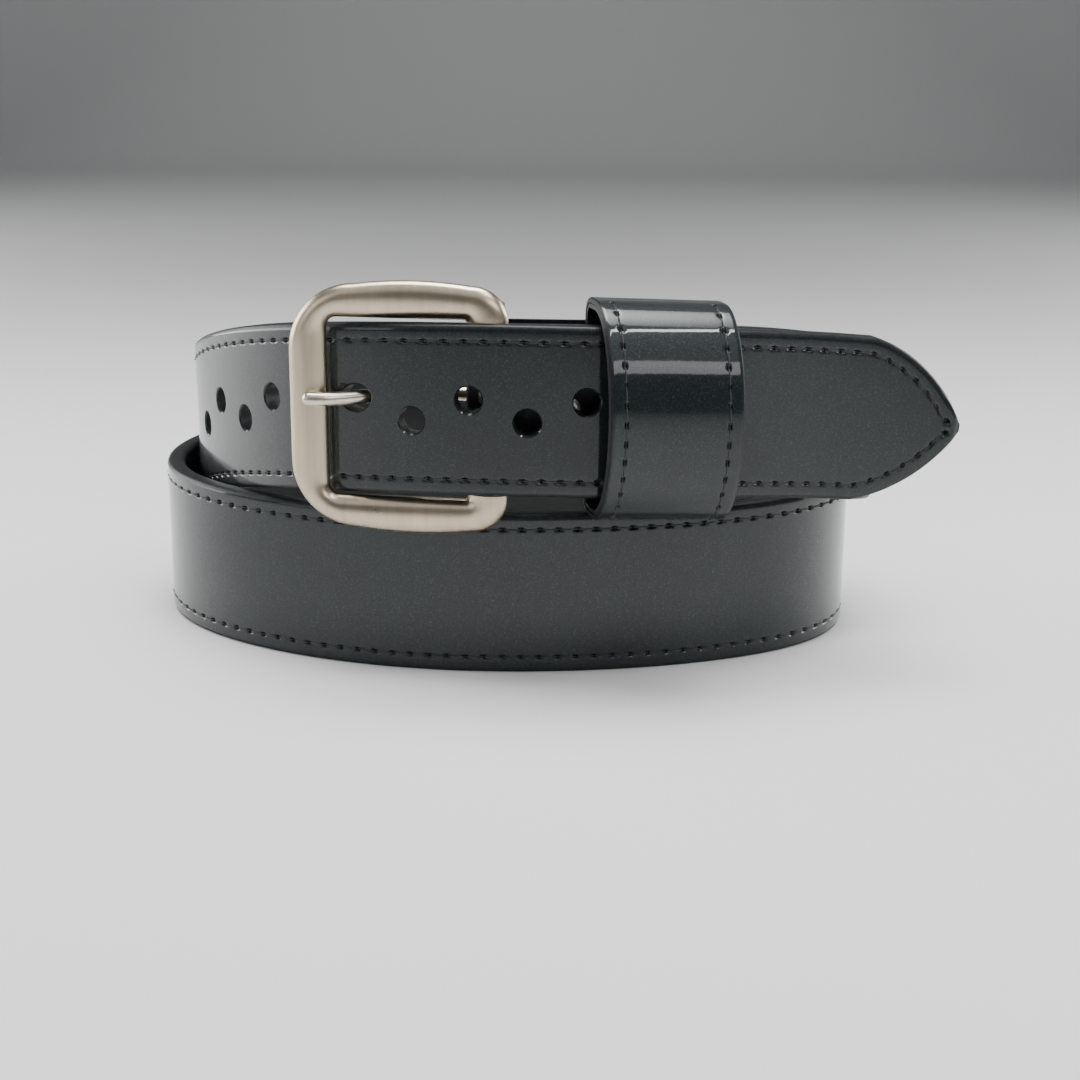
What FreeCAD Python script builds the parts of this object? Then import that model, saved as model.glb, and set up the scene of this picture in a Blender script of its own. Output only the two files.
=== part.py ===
import FreeCAD, Part
import os
from math import ceil, cos, radians, sin, sqrt

# A man's dress belt, buckled and wound up twice so that it stands on its lower
# edge.  Millimetres.  +Z is up, +X runs to the pointed tip, and the buckle and
# the outside of the front turn look towards -Y.  The origin is the middle of
# the footprint, at floor level.

V = FreeCAD.Vector

# strap
STRAP_LENGTH = 1001.5                # from the tip to the heel bar
STRAP_WIDTH = 38.1                   # an inch and a half
FACE_THICKNESS = 2.25
LINING_THICKNESS = 2.25
HALF_WIDTH = STRAP_WIDTH / 2
STRAP_THICKNESS = FACE_THICKNESS + LINING_THICKNESS
TIP_TAPER_LENGTH = 24.0
TIP_TAPER_MIDDLE = (12.0, 14.1)      # distance from the point, half width there
TIP_BLUNT_HALF_WIDTH = 1.0
STATION_STEP = 5.0                   # spacing of the points along a strap edge
PANEL_LENGTH = 60.0                  # longest face along the strap

# punched holes, two staggered rows
HOLE_RADIUS = 3.0
FIRST_HOLE = 90.7                    # from the tip
HOLE_SPACING = 12.7                  # from one row to the next
HOLE_COUNT = 10
UPPER_ROW = 2.5                      # above the middle of the strap
LOWER_ROW = -2.3

# stitching
STITCH_MARGIN = 3.7
THREAD_WIDTH = 0.8
THREAD_HEIGHT = 0.15
THREAD_CLEARANCE = 0.03
SEAM_REACH = 64                      # degrees of the keeper's oval front, up and down

# fold round the heel bar, and the flap behind it
FLAP_GAP = 6.6                       # from the back of the face layer to the flap
FLAP_LENGTH = 68.0
FLAP_TAPER = 18.0                    # cut off the corners of the flap's end
FLAP_END_HALF_WIDTH = 9.0
LINING_STOP = 3.6                    # the lining ends short of the fold
PRONG_SLOT_HEIGHT = 5.4
PRONG_SLOT_LENGTH = 12.0
RIVET_DISTANCES = (16.5, 60.0)       # from the heel bar, either side of the keeper
RIVET_HEAD_RADIUS = 4.0
RIVET_HEAD_HEIGHT = 0.5
RIVET_BACK_SEAT = 0.1                # the back cap clears the hollow of the flap
RIVET_POST_RADIUS = 1.5

# buckle
BUCKLE_TURN = 8.0                    # degrees, from the X axis
BUCKLE_FORWARD = 8.0                 # from the heel bar's axis to the frame's plane
BUCKLE_WIDTH = 49.1
BUCKLE_OVERHANG = 5.1                # frame beyond the heel bar's axis
BUCKLE_BOTTOM = 35.5
BUCKLE_TOP = 90.4
BUCKLE_CROWN = 0.9                   # how far the upper and lower bars bow outwards
BAR_WIDTH = 7.4
TOE_BAR_WIDTH = 8.4
FRAME_THICKNESS = 3.4
TOE_CORNER_RADIUS = 15.0
HEEL_CORNER_RADIUS = 8.0
WINDOW_CORNER_RADIUS = 2.5
HEEL_BAR_RADIUS = 2.2
ARM_WIDTH = 5.0
ARM_HEIGHT = 3.2

# prong
PRONG_RADIUS = 1.6
PRONG_EYE_RADIUS = 3.9
PRONG_EYE_CLEARANCE = 0.1
PRONG_ROUTE = ((0, -0.8), (17.5, -1.2), (34.5, 11.4), (38.6, 11.4))    # toeward, forward
PRONG_HEIGHT = 65.2
PRONG_ROOM = 0.4                     # round the prong, where it passes the strap
PRONG_TURNS = (0, 2, 4)              # degrees that the prong can turn in all

# keeper, a straight loop with an oval front
KEEPER_FROM = 58.5                   # from the tip
KEEPER_WIDTH = 30.0
KEEPER_LEAN = 0.05                   # along the strap for each millimetre upwards
KEEPER_FRONT = 9.8                   # crown of the inside, from the strap's middle
KEEPER_CENTRE = -3.5                 # middle of the oval
KEEPER_BACK = -9.5
KEEPER_SKEW = 0.02                   # of its back, for each millimetre along the strap
KEEPER_HALF_HEIGHT = 22.2
KEEPER_DROP = 0.3                    # its middle, below the strap's
KEEPER_CORNER_RADIUS = 2.2           # its two corners at the back
KEEPER_SHELL = 1.2
KEEPER_MARGIN = 3.4                  # of its two seams
KEEPER_LINING = 1.1
STAPLE_LENGTH = 10.0
STAPLE_WIDTH = 1.0
STAPLE_HEIGHT = 0.3

# The middle of the strap passes near these points, from the tip to the heel
# bar: x, y and height.  They are the guide points of an even cubic spline,
# which runs a little further than the strap.
GUIDE = [
    V(132.5, -34.5, 53),
    V(95, -25.5, 55.8),
    V(61.5, -34, 60),
    V(30, -50, 62.9),
    V(-5, -52.5, 63.9),
    V(-40.5, -47.5, 63.4),
    V(-66.5, -26, 59.5),
    V(-86.5, 7, 50.5),
    V(-90, 36, 38.5),
    V(-65.5, 49.5, 34),
    V(-22.5, 53, 29.5),
    V(23.5, 52, 23.5),
    V(59.5, 43.5, 19.5),
    V(78, 17.5, 19),
    V(71, -17, 19),
    V(38, -34.5, 19),
    V(3, -41.5, 19),
    V(-30.5, -40.5, 19),
    V(-64.5, -29, 19),
    V(-92.5, -5.5, 19),
    V(-98, 30, 19),
    V(-79, 56, 21),
    V(-41.5, 61, 26.5),
    V(-0.5, 61.5, 33.5),
    V(39.5, 59.5, 39),
    V(71, 46.5, 43),
    V(83, 17.5, 47.5),
    V(77.5, -15.5, 54.3),
    V(49.5, -37, 61.8),
    V(14.5, -46.5, 62.8),
    V(-19.5, -45.5, 62.8),
    V(-54, -35.5, 62.8),
]


def guide_point(t):
    """Point of the guide spline, and its direction, at parameter t."""
    span = min(int(t), len(GUIDE) - 4)
    u = t - span
    weights = ((1 - u) ** 3 / 6, (3 * u ** 3 - 6 * u * u + 4) / 6,
               (-3 * u ** 3 + 3 * u * u + 3 * u + 1) / 6, u ** 3 / 6)
    slopes = (-(1 - u) ** 2 / 2, (3 * u * u - 4 * u) / 2,
              (-3 * u * u + 2 * u + 1) / 2, u * u / 2)
    point = V()
    direction = V()
    for i in range(4):
        point += GUIDE[span + i] * weights[i]
        direction += GUIDE[span + i] * slopes[i]
    return point, direction


def measure_route():
    """Distances along the guide spline at evenly spaced parameters."""
    steps = (len(GUIDE) - 3) * 40
    lengths = [0.0]
    last = guide_point(0)[0]
    for i in range(1, steps + 1):
        point = guide_point(i / 40)[0]
        lengths.append(lengths[-1] + (point - last).Length)
        last = point
    return lengths


ROUTE = measure_route()


def station(s):
    """Middle of the strap at distance s from the tip: point, along, out, up."""
    low, high = 0, len(ROUTE) - 1
    while high - low > 1:
        middle = (low + high) // 2
        if ROUTE[middle] <= s:
            low = middle
        else:
            high = middle
    t = (low + (s - ROUTE[low]) / (ROUTE[high] - ROUTE[low])) / 40
    point, along = guide_point(t)
    along.normalize()
    out = V(-along.y, along.x, 0).normalize()
    return point, along, out, along.cross(out)


def strap_point(s, n, w):
    """Point n in front of the strap's middle and w above it."""
    point, along, out, up = station(s)
    return point + out * n + up * w


def even_steps(start, end, step):
    """Distances from start to end, no more than a step apart."""
    count = max(2, ceil((end - start) / step))
    return [start + (end - start) * i / count for i in range(count + 1)]


def ribbon(start, end, back, front, bottom, top):
    """Solid that follows the strap, a rectangle in section, its sides cut into panels."""
    corners = ((back, bottom), (front, bottom), (front, top), (back, top))
    places = even_steps(start, end, STATION_STEP)
    curves = []
    for n, w in corners:
        curve = Part.BSplineCurve()
        points = [strap_point(s, n, w) for s in places]
        curve.interpolate(Points=points, Parameters=places)
        curves.append(curve)
    faces = []
    joins = even_steps(start, end, PANEL_LENGTH)
    for low, high in zip(joins, joins[1:]):
        edges = [curve.toShape(low, high) for curve in curves]
        faces += [Part.makeRuledSurface(edges[i], edges[(i + 1) % 4]) for i in range(4)]
    for s in (start, end):
        outline = [strap_point(s, n, w) for n, w in corners]
        faces.append(Part.Face(Part.makePolygon(outline + outline[:1])))
    shell = Part.Shell(faces)
    shell.sewShape()
    solid = Part.Solid(shell)
    solid.fix(0.01, 0.001, 0.01)
    if solid.Volume < 0:
        solid.reverse()
    return solid


def pin(s, w, back, front, radius):
    """Round bar through the strap at s, from back to front."""
    out = station(s)[2]
    return Part.makeCylinder(radius, front - back, strap_point(s, back, w), out)


def hole_places():
    """Distance from the tip and height of each punched hole."""
    for i in range(HOLE_COUNT):
        yield FIRST_HOLE + i * HOLE_SPACING, LOWER_ROW if i % 2 else UPPER_ROW


def tip_waste():
    """What is cut from the strap's end to leave the pointed tip."""
    reach = HALF_WIDTH + 5
    depth = STRAP_THICKNESS * 3

    def place(s, w):
        point, along, out, up = station(TIP_TAPER_LENGTH / 2)
        return point + along * (s - TIP_TAPER_LENGTH / 2) + up * w - out * depth

    pieces = []
    for side in (1, -1):
        start = place(TIP_TAPER_LENGTH, side * HALF_WIDTH)
        middle = place(TIP_TAPER_MIDDLE[0], side * TIP_TAPER_MIDDLE[1])
        end = place(0, side * TIP_BLUNT_HALF_WIDTH)
        curve = Part.Arc(start, middle, end).toShape()
        rest = Part.makePolygon([end, place(-5, side * TIP_BLUNT_HALF_WIDTH), place(-5, side * reach),
                                 place(TIP_TAPER_LENGTH, side * reach), start])
        face = Part.Face(Part.Wire([curve] + rest.Edges))
        pieces.append(face.extrude(station(TIP_TAPER_LENGTH / 2)[2] * depth * 2))
    return pieces[0].fuse(pieces[1])


def flap_waste():
    """What is cut from the corners of the flap's end."""
    point, along, out, up = station(STRAP_LENGTH - FLAP_LENGTH)
    front = point - out * (FLAP_GAP - 1)
    pieces = []
    for side in (1, -1):
        corners = [(-2, FLAP_END_HALF_WIDTH), (0, FLAP_END_HALF_WIDTH), (FLAP_TAPER, HALF_WIDTH),
                   (FLAP_TAPER, HALF_WIDTH + 5), (-2, HALF_WIDTH + 5)]
        outline = [front + along * s + up * (side * w) for s, w in corners]
        face = Part.Face(Part.makePolygon(outline + outline[:1]))
        pieces.append(face.extrude(out * -(FACE_THICKNESS + 5)))
    return pieces


# the heel bar's axis, and the buckle's own directions
HEEL_AXIS = strap_point(STRAP_LENGTH, -FLAP_GAP / 2, 0)
TOEWARD = V(-cos(radians(BUCKLE_TURN)), sin(radians(BUCKLE_TURN)), 0)
FORWARD = V(-sin(radians(BUCKLE_TURN)), -cos(radians(BUCKLE_TURN)), 0)


def buckle_point(u, n, z):
    """Point u toeward of the heel bar's axis and n in front of it, at height z."""
    return V(HEEL_AXIS.x, HEEL_AXIS.y, z) + TOEWARD * u + FORWARD * n


def rounded_plate(low_u, high_u, low_z, high_z, heel_radius, toe_radius, back, front, crown=0.0):
    """Plate in the buckle's plane, its corners rounded, its upper and lower edges bowed by the crown."""
    corners = [(low_u, low_z, heel_radius, 1, 1), (high_u, low_z, toe_radius, -1, 1),
               (high_u, high_z, toe_radius, -1, -1), (low_u, high_z, heel_radius, 1, -1)]
    edges = []
    points = []
    for u, z, r, du, dz in corners:
        if du * dz > 0:
            start, end = (u, z + dz * r), (u + du * r, z)
        else:
            start, end = (u + du * r, z), (u, z + dz * r)
        bulge = r * (1 - sqrt(0.5))
        middle = buckle_point(u + du * bulge, back, z + dz * bulge)
        points.append((buckle_point(start[0], back, start[1]), middle,
                       buckle_point(end[0], back, end[1])))
    for i, (start, middle, end) in enumerate(points):
        following = points[(i + 1) % 4][0]
        edges.append(Part.Arc(start, middle, end).toShape())
        if crown and i % 2 == 0:
            bow = V(0, 0, crown * (i - 1))
            edges.append(Part.Arc(end, (end + following) / 2 + bow, following).toShape())
        else:
            edges.append(Part.makeLine(end, following))
    return Part.Face(Part.Wire(edges)).extrude(FORWARD * (front - back))


def block(low_u, high_u, back, front, low_z, high_z):
    """Box in the buckle's own directions."""
    outline = [buckle_point(low_u, back, low_z), buckle_point(high_u, back, low_z),
               buckle_point(high_u, front, low_z), buckle_point(low_u, front, low_z)]
    face = Part.Face(Part.makePolygon(outline + outline[:1]))
    return face.extrude(V(0, 0, high_z - low_z))


def make_buckle_frame():
    back = BUCKLE_FORWARD - FRAME_THICKNESS / 2
    front = BUCKLE_FORWARD + FRAME_THICKNESS / 2
    toe = BUCKLE_WIDTH - BUCKLE_OVERHANG
    plate = rounded_plate(-BUCKLE_OVERHANG, toe, BUCKLE_BOTTOM, BUCKLE_TOP,
                          HEEL_CORNER_RADIUS, TOE_CORNER_RADIUS, back, front, BUCKLE_CROWN)
    window = rounded_plate(-BUCKLE_OVERHANG - 20, toe - TOE_BAR_WIDTH,
                           BUCKLE_BOTTOM + BAR_WIDTH, BUCKLE_TOP - BAR_WIDTH,
                           WINDOW_CORNER_RADIUS, WINDOW_CORNER_RADIUS, back - 1, front + 1)
    frame = plate.cut(window)
    low = BUCKLE_BOTTOM + BAR_WIDTH - ARM_HEIGHT
    high = BUCKLE_TOP - BAR_WIDTH
    for z in (low, high):
        frame = frame.fuse(block(-ARM_WIDTH / 2, ARM_WIDTH / 2, -HEEL_BAR_RADIUS,
                                 BUCKLE_FORWARD, z, z + ARM_HEIGHT))
    bar = Part.makeCylinder(HEEL_BAR_RADIUS, high + ARM_HEIGHT - low, buckle_point(0, 0, low))
    return frame.fuse(bar).removeSplitter()


def make_prong(radius=PRONG_RADIUS, turn=0.0):
    """The prong, its shank a bent round bar, turned about the heel bar."""
    eye_height = PRONG_RADIUS * 2
    base = buckle_point(0, 0, PRONG_HEIGHT - eye_height / 2)
    eye = Part.makeCylinder(PRONG_EYE_RADIUS, eye_height, base)
    points = [buckle_point(u, n, PRONG_HEIGHT) for u, n in PRONG_ROUTE]
    shank = []
    for start, end in zip(points, points[1:]):
        shank.append(Part.makeCylinder(radius, (end - start).Length, start, end - start))
        shank.append(Part.makeSphere(radius, end))
    prong = eye.fuse(shank).removeSplitter()
    hole = Part.makeCylinder(HEEL_BAR_RADIUS + PRONG_EYE_CLEARANCE, eye_height + 2,
                             base - V(0, 0, 1))
    prong = prong.cut(hole)
    prong.rotate(buckle_point(0, 0, 0), V(0, 0, 1), turn)
    return prong


def keeper_point(s, n, w):
    """Point of the keeper, which is straight, leans a little and hangs low on the strap."""
    middle = KEEPER_FROM + KEEPER_WIDTH / 2
    point, along, out, up = station(middle)
    return point + out * n + along * (s - middle + KEEPER_LEAN * w) + up * (w - KEEPER_DROP)


def oval_arc(s, grow, reach, rise=0.0):
    """Upright arc of the keeper's oval front, to an angle either side of its crown."""
    depth = KEEPER_FRONT - KEEPER_CENTRE + grow + rise
    height = KEEPER_HALF_HEIGHT + grow + rise
    angles = [radians(reach * (i / 6 - 1)) for i in range(13)]
    curve = Part.BSplineCurve()
    curve.interpolate([keeper_point(s, KEEPER_CENTRE + depth * cos(a), height * sin(a)) for a in angles])
    return curve.toShape()


def keeper_back(s):
    """Inside of the keeper's back at s; it runs along the strap behind it."""
    return KEEPER_BACK - KEEPER_SKEW * (s - KEEPER_FROM - KEEPER_WIDTH / 2)


def section_wire(s, grow):
    """The keeper's inside outline round the strap at s, grown outwards."""
    back = keeper_back(s) - grow
    half = KEEPER_HALF_HEIGHT + grow
    r = KEEPER_CORNER_RADIUS + grow
    bulge = r * (1 - sqrt(0.5))
    edges = [oval_arc(s, grow, 90)]
    walls = []
    for side in (1, -1):
        crest = keeper_point(s, KEEPER_CENTRE, side * half)
        shoulder = keeper_point(s, back + r, side * half)
        middle = keeper_point(s, back + bulge, side * (half - bulge))
        wall = keeper_point(s, back, side * (half - r))
        walls.append(wall)
        edges.append(Part.makeLine(crest, shoulder))
        edges.append(Part.Arc(shoulder, middle, wall).toShape())
    edges.append(Part.makeLine(*walls))
    return Part.Wire(Part.__sortEdges__(edges))


def keeper_ring(inside, outside):
    """Loop of leather round the buckled strap."""
    ends = (KEEPER_FROM, KEEPER_FROM + KEEPER_WIDTH)
    outer = Part.makeLoft([section_wire(s, outside) for s in ends], True, True)
    inner = Part.makeLoft([section_wire(s, inside) for s in ends], True, True)
    return outer.cut(inner)


def make_strap():
    """The face leather with its fold and flap, and the lining, flat where they rest on the floor."""
    end = STRAP_LENGTH
    face = ribbon(0, end, 0, FACE_THICKNESS, -HALF_WIDTH, HALF_WIDTH)
    lining = ribbon(0, end - LINING_STOP, -LINING_THICKNESS, 0, -HALF_WIDTH, HALF_WIDTH)
    corners = [strap_point(end, n, w) for n, w in ((0, -HALF_WIDTH), (FACE_THICKNESS, -HALF_WIDTH),
                                                   (FACE_THICKNESS, HALF_WIDTH), (0, HALF_WIDTH))]
    fold = Part.Face(Part.makePolygon(corners + corners[:1]))
    fold = fold.revolve(HEEL_AXIS, -station(end)[3], 180)
    flap = ribbon(end - FLAP_LENGTH, end, -FLAP_GAP - FACE_THICKNESS, -FLAP_GAP,
                  -HALF_WIDTH, HALF_WIDTH)
    face = face.fuse(fold).fuse(flap.cut(flap_waste()))
    floor = Part.makeBox(400, 400, 5, V(-200, -200, -5))
    cuts = [tip_waste(), floor]
    cuts += [pin(s, w, -STRAP_THICKNESS, STRAP_THICKNESS, HOLE_RADIUS) for s, w in hole_places()]
    cuts += [pin(end - d, 0, -FLAP_GAP * 2, FACE_THICKNESS * 2, RIVET_POST_RADIUS)
             for d in RIVET_DISTANCES]
    slot = block(-PRONG_SLOT_LENGTH, FLAP_GAP * 2, -FLAP_GAP * 2, FLAP_GAP,
                 PRONG_HEIGHT - PRONG_SLOT_HEIGHT / 2, PRONG_HEIGHT + PRONG_SLOT_HEIGHT / 2)
    cuts.append(slot)
    cuts += [make_prong(PRONG_RADIUS + PRONG_ROOM, turn) for turn in PRONG_TURNS]
    return face.cut(cuts), lining.cut(cuts)


def make_threads():
    rows = []
    for w in (HALF_WIDTH - STITCH_MARGIN, STITCH_MARGIN - HALF_WIDTH):
        row = ribbon(TIP_TAPER_LENGTH, STRAP_LENGTH - PRONG_SLOT_LENGTH, FACE_THICKNESS,
                     FACE_THICKNESS + THREAD_HEIGHT, w - THREAD_WIDTH / 2, w + THREAD_WIDTH / 2)
        rows.append(row)
    return rows


def make_rivets():
    caps, posts, backs = [], [], []
    for d in RIVET_DISTANCES:
        s = STRAP_LENGTH - d
        rear = -FLAP_GAP - FACE_THICKNESS - RIVET_BACK_SEAT
        caps.append(pin(s, 0, FACE_THICKNESS, FACE_THICKNESS + RIVET_HEAD_HEIGHT, RIVET_HEAD_RADIUS))
        posts.append(pin(s, 0, rear, FACE_THICKNESS, RIVET_POST_RADIUS))
        backs.append(pin(s, 0, rear - RIVET_HEAD_HEIGHT, rear, RIVET_HEAD_RADIUS))
    return [Part.makeCompound(group) for group in (caps, posts, backs)]


def keeper_seam(s):
    """Row of stitches down the keeper's oval front."""
    grow = KEEPER_LINING + KEEPER_SHELL + THREAD_CLEARANCE
    outlines = []
    for place in (s - THREAD_WIDTH / 2, s + THREAD_WIDTH / 2):
        under = oval_arc(place, grow, SEAM_REACH)
        over = oval_arc(place, grow, SEAM_REACH, THREAD_HEIGHT)
        ends = [Part.makeLine(under.Vertexes[i].Point, over.Vertexes[i].Point) for i in (0, 1)]
        outlines.append(Part.Wire(Part.__sortEdges__([under, over] + ends)))
    return Part.makeLoft(outlines, True, True)


def make_keeper():
    lining = keeper_ring(0, KEEPER_LINING)
    shell = keeper_ring(KEEPER_LINING, KEEPER_LINING + KEEPER_SHELL)
    seams = [keeper_seam(KEEPER_FROM + d) for d in (KEEPER_MARGIN, KEEPER_WIDTH - KEEPER_MARGIN)]
    middle = KEEPER_FROM + KEEPER_WIDTH / 2
    thick = KEEPER_LINING + KEEPER_SHELL
    ends = (middle - STAPLE_LENGTH / 2, middle + STAPLE_LENGTH / 2)
    corners = [keeper_point(s, keeper_back(s) - thick, -STAPLE_WIDTH / 2) for s in ends]
    corners += [keeper_point(s, keeper_back(s) - thick - STAPLE_HEIGHT, -STAPLE_WIDTH / 2) for s in reversed(ends)]
    crown = Part.Face(Part.makePolygon(corners + corners[:1]))
    staple = crown.extrude(keeper_point(middle, 0, STAPLE_WIDTH) - keeper_point(middle, 0, 0))
    return shell, lining, Part.makeCompound(seams), staple


face, lining = make_strap()
thread_top, thread_bottom = make_threads()
caps, posts, backs = make_rivets()
keeper_shell, keeper_lining, keeper_thread, keeper_staple = make_keeper()
NODES = {
    "strap_face": face,
    "strap_lining": lining,
    "strap_thread_top": thread_top,
    "strap_thread_bottom": thread_bottom,
    "rivet_caps": caps,
    "rivet_posts": posts,
    "rivet_back_caps": backs,
    "buckle_frame": make_buckle_frame(),
    "buckle_prong": make_prong(),
    "keeper_shell": keeper_shell,
    "keeper_lining": keeper_lining,
    "keeper_thread": keeper_thread,
    "keeper_staple": keeper_staple,
}

os.makedirs("parts", exist_ok=True)
for name, shape in NODES.items():
    shape.exportStep(f"parts/{name}.step")
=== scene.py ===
import math

import bmesh
import bpy
from mathutils import Matrix, Vector


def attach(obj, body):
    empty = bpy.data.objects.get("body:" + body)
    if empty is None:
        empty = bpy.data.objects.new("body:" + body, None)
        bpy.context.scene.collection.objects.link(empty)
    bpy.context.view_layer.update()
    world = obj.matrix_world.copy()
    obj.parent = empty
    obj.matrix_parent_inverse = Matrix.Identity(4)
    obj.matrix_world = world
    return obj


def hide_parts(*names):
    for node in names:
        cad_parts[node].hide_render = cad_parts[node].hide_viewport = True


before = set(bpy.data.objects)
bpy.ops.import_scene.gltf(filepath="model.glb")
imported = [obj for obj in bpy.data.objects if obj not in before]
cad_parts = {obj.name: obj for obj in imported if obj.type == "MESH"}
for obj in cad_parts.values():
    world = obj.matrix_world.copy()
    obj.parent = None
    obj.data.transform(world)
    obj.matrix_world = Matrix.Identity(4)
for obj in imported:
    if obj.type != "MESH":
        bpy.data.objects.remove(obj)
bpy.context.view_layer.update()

# A man's dress belt, buckled and wound up twice.  Every CAD node is remade here
# as a finished mesh in the same place and rides on the same body.  Lengths are
# in millimetres until a mesh is written; shaders and lights use metres.

MM = 0.001

# strap, as in the CAD model
STRAP_LENGTH = 1001.5
HALF_WIDTH = 19.05
LAYER = 2.25                       # face and lining are equally thick
TIP_LENGTH = 24.0
TIP_MIDDLE = (12.0, 14.1)
TIP_BLUNT = 1.0
FLAP_GAP = 6.6
FLAP_LENGTH = 68.0
FLAP_TAPER = 18.0
FLAP_END_HALF_WIDTH = 9.0
LINING_STOP = 3.6
GUIDE = [
    (132.5, -34.5, 53), (95, -25.5, 55.8), (61.5, -34, 60), (30, -50, 62.9),
    (-5, -52.5, 63.9), (-40.5, -47.5, 63.4), (-66.5, -26, 59.5), (-86.5, 7, 50.5),
    (-90, 36, 38.5), (-65.5, 49.5, 34), (-22.5, 53, 29.5), (23.5, 52, 23.5),
    (59.5, 43.5, 19.5), (78, 17.5, 19), (71, -17, 19), (38, -34.5, 19),
    (3, -41.5, 19), (-30.5, -40.5, 19), (-64.5, -29, 19), (-92.5, -5.5, 19),
    (-98, 30, 19), (-79, 56, 21), (-41.5, 61, 26.5), (-0.5, 61.5, 33.5),
    (39.5, 59.5, 39), (71, 46.5, 43), (83, 17.5, 47.5), (77.5, -15.5, 54.3),
    (49.5, -37, 61.8), (14.5, -46.5, 62.8), (-19.5, -45.5, 62.8), (-54, -35.5, 62.8),
]

# holes, seams and rivets
HOLE_RADIUS = 3.0
FIRST_HOLE = 90.7
HOLE_SPACING = 12.7
HOLE_COUNT = 10
UPPER_ROW = 2.5
LOWER_ROW = -2.3
PRONG_HOLE = 4                     # counted from 0
PRONG_HOLE_STRETCH = 1.3           # pulled long by the prong
STITCH = 25.4 / 6                  # six to the inch
SEAM_MARGIN = 3.7
SEAM_START = 3.4                   # from the tip
SEAM_END = STRAP_LENGTH - 14
THREAD_RADIUS = 0.2
RIVET_DISTANCES = (16.5, 60.0)     # from the heel bar
RIVET_POST_RADIUS = 1.5
RIVET_BACK_SEAT = 0.1

# keeper, a straight loop with an oval front
KEEPER_FROM = 58.5
KEEPER_WIDTH = 30.0
KEEPER_LEAN = 0.05
KEEPER_FRONT = 9.8                 # crown of the inside
KEEPER_CENTRE = -3.5               # middle of the oval
KEEPER_BACK = -9.5
KEEPER_SKEW = 0.02                 # of its back, for each millimetre along the strap
KEEPER_HALF_HEIGHT = 22.2
KEEPER_DROP = 0.3
KEEPER_CORNER = 2.2                # at the back
KEEPER_LINING = 1.1
KEEPER_SHELL = 1.2
KEEPER_MARGIN = 3.4                # of its two seams
KEEPER_STITCHES = 7                # above the crown, and as many below
STAPLE_LENGTH = 10.0
STAPLE_RADIUS = 0.25
STAPLE_STAND = 0.05                # of its middle line off the leather
STAPLE_BEND = 0.35                 # of its ends into the leather

# buckle
BUCKLE_TURN = math.radians(8.0)
BUCKLE_FORWARD = 8.0
BUCKLE_WIDTH = 49.1
OVERHANG = 5.1
BUCKLE_BOTTOM = 35.5
BUCKLE_TOP = 90.4
BUCKLE_CROWN = 0.9
BAR_WIDTH = 7.4
TOE_BAR_WIDTH = 8.4
FRAME_THICKNESS = 3.4
TOE_CORNER = 15.0
HEEL_CORNER = 8.0
WINDOW_CORNER = 2.5
HEEL_BAR_RADIUS = 2.2
ARM_HEIGHT = 3.2
PRONG_HEIGHT = 65.2
PRONG_RADIUS = 1.6
PRONG_EYE_RADIUS = 3.9
PRONG_EYE_CLEARANCE = 0.08
PRONG_ROUTE = ((0, -0.8), (17.5, -1.2), (34.5, 11.4), (38.6, 11.4))    # toeward, forward
PRONG_SLOT_HEIGHT = 5.4
PRONG_SLOT_TOEWARD = (-12.0, 14.0)
PRONG_SLOT_FORWARD = (-16.0, 5.6)


# ---------------------------------------------------------------- geometry

def guide_point(t):
    """Point and direction of the strap's guide spline at parameter t."""
    span = min(int(t), len(GUIDE) - 4)
    u = t - span
    weights = ((1 - u) ** 3 / 6, (3 * u ** 3 - 6 * u * u + 4) / 6,
               (-3 * u ** 3 + 3 * u * u + 3 * u + 1) / 6, u ** 3 / 6)
    slopes = (-(1 - u) ** 2 / 2, (3 * u * u - 4 * u) / 2,
              (-3 * u * u + 2 * u + 1) / 2, u * u / 2)
    point = Vector((0, 0, 0))
    direction = Vector((0, 0, 0))
    for i in range(4):
        guide = Vector(GUIDE[span + i])
        point += guide * weights[i]
        direction += guide * slopes[i]
    return point, direction


def measure_route():
    """Distances along the guide spline, 40 to a span."""
    lengths = [0.0]
    last = guide_point(0)[0]
    for i in range(1, (len(GUIDE) - 3) * 40 + 1):
        point = guide_point(i / 40)[0]
        lengths.append(lengths[-1] + (point - last).length)
        last = point
    return lengths


ROUTE = measure_route()


def station(s):
    """Middle of the strap at s from the tip: point, along, out, up."""
    low, high = 0, len(ROUTE) - 1
    while high - low > 1:
        middle = (low + high) // 2
        if ROUTE[middle] <= s:
            low = middle
        else:
            high = middle
    t = (low + (s - ROUTE[low]) / (ROUTE[high] - ROUTE[low])) / 40
    point, along = guide_point(max(t, 0))
    along.normalize()
    out = Vector((-along.y, along.x, 0)).normalized()
    return point, along, out, along.cross(out)


def strap_point(s, n, w):
    """Point n in front of the strap's middle and w above it."""
    point, along, out, up = station(s)
    return point + out * n + up * w


def steps(start, end, step):
    """Even values from start to end, no more than a step apart."""
    count = max(1, math.ceil((end - start) / step))
    return [start + (end - start) * i / count for i in range(count + 1)]


def smoothstep(x):
    """Smooth rise from 0 to 1 as x goes from 0 to 1."""
    x = min(max(x, 0.0), 1.0)
    return x * x * (3 - 2 * x)


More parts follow.
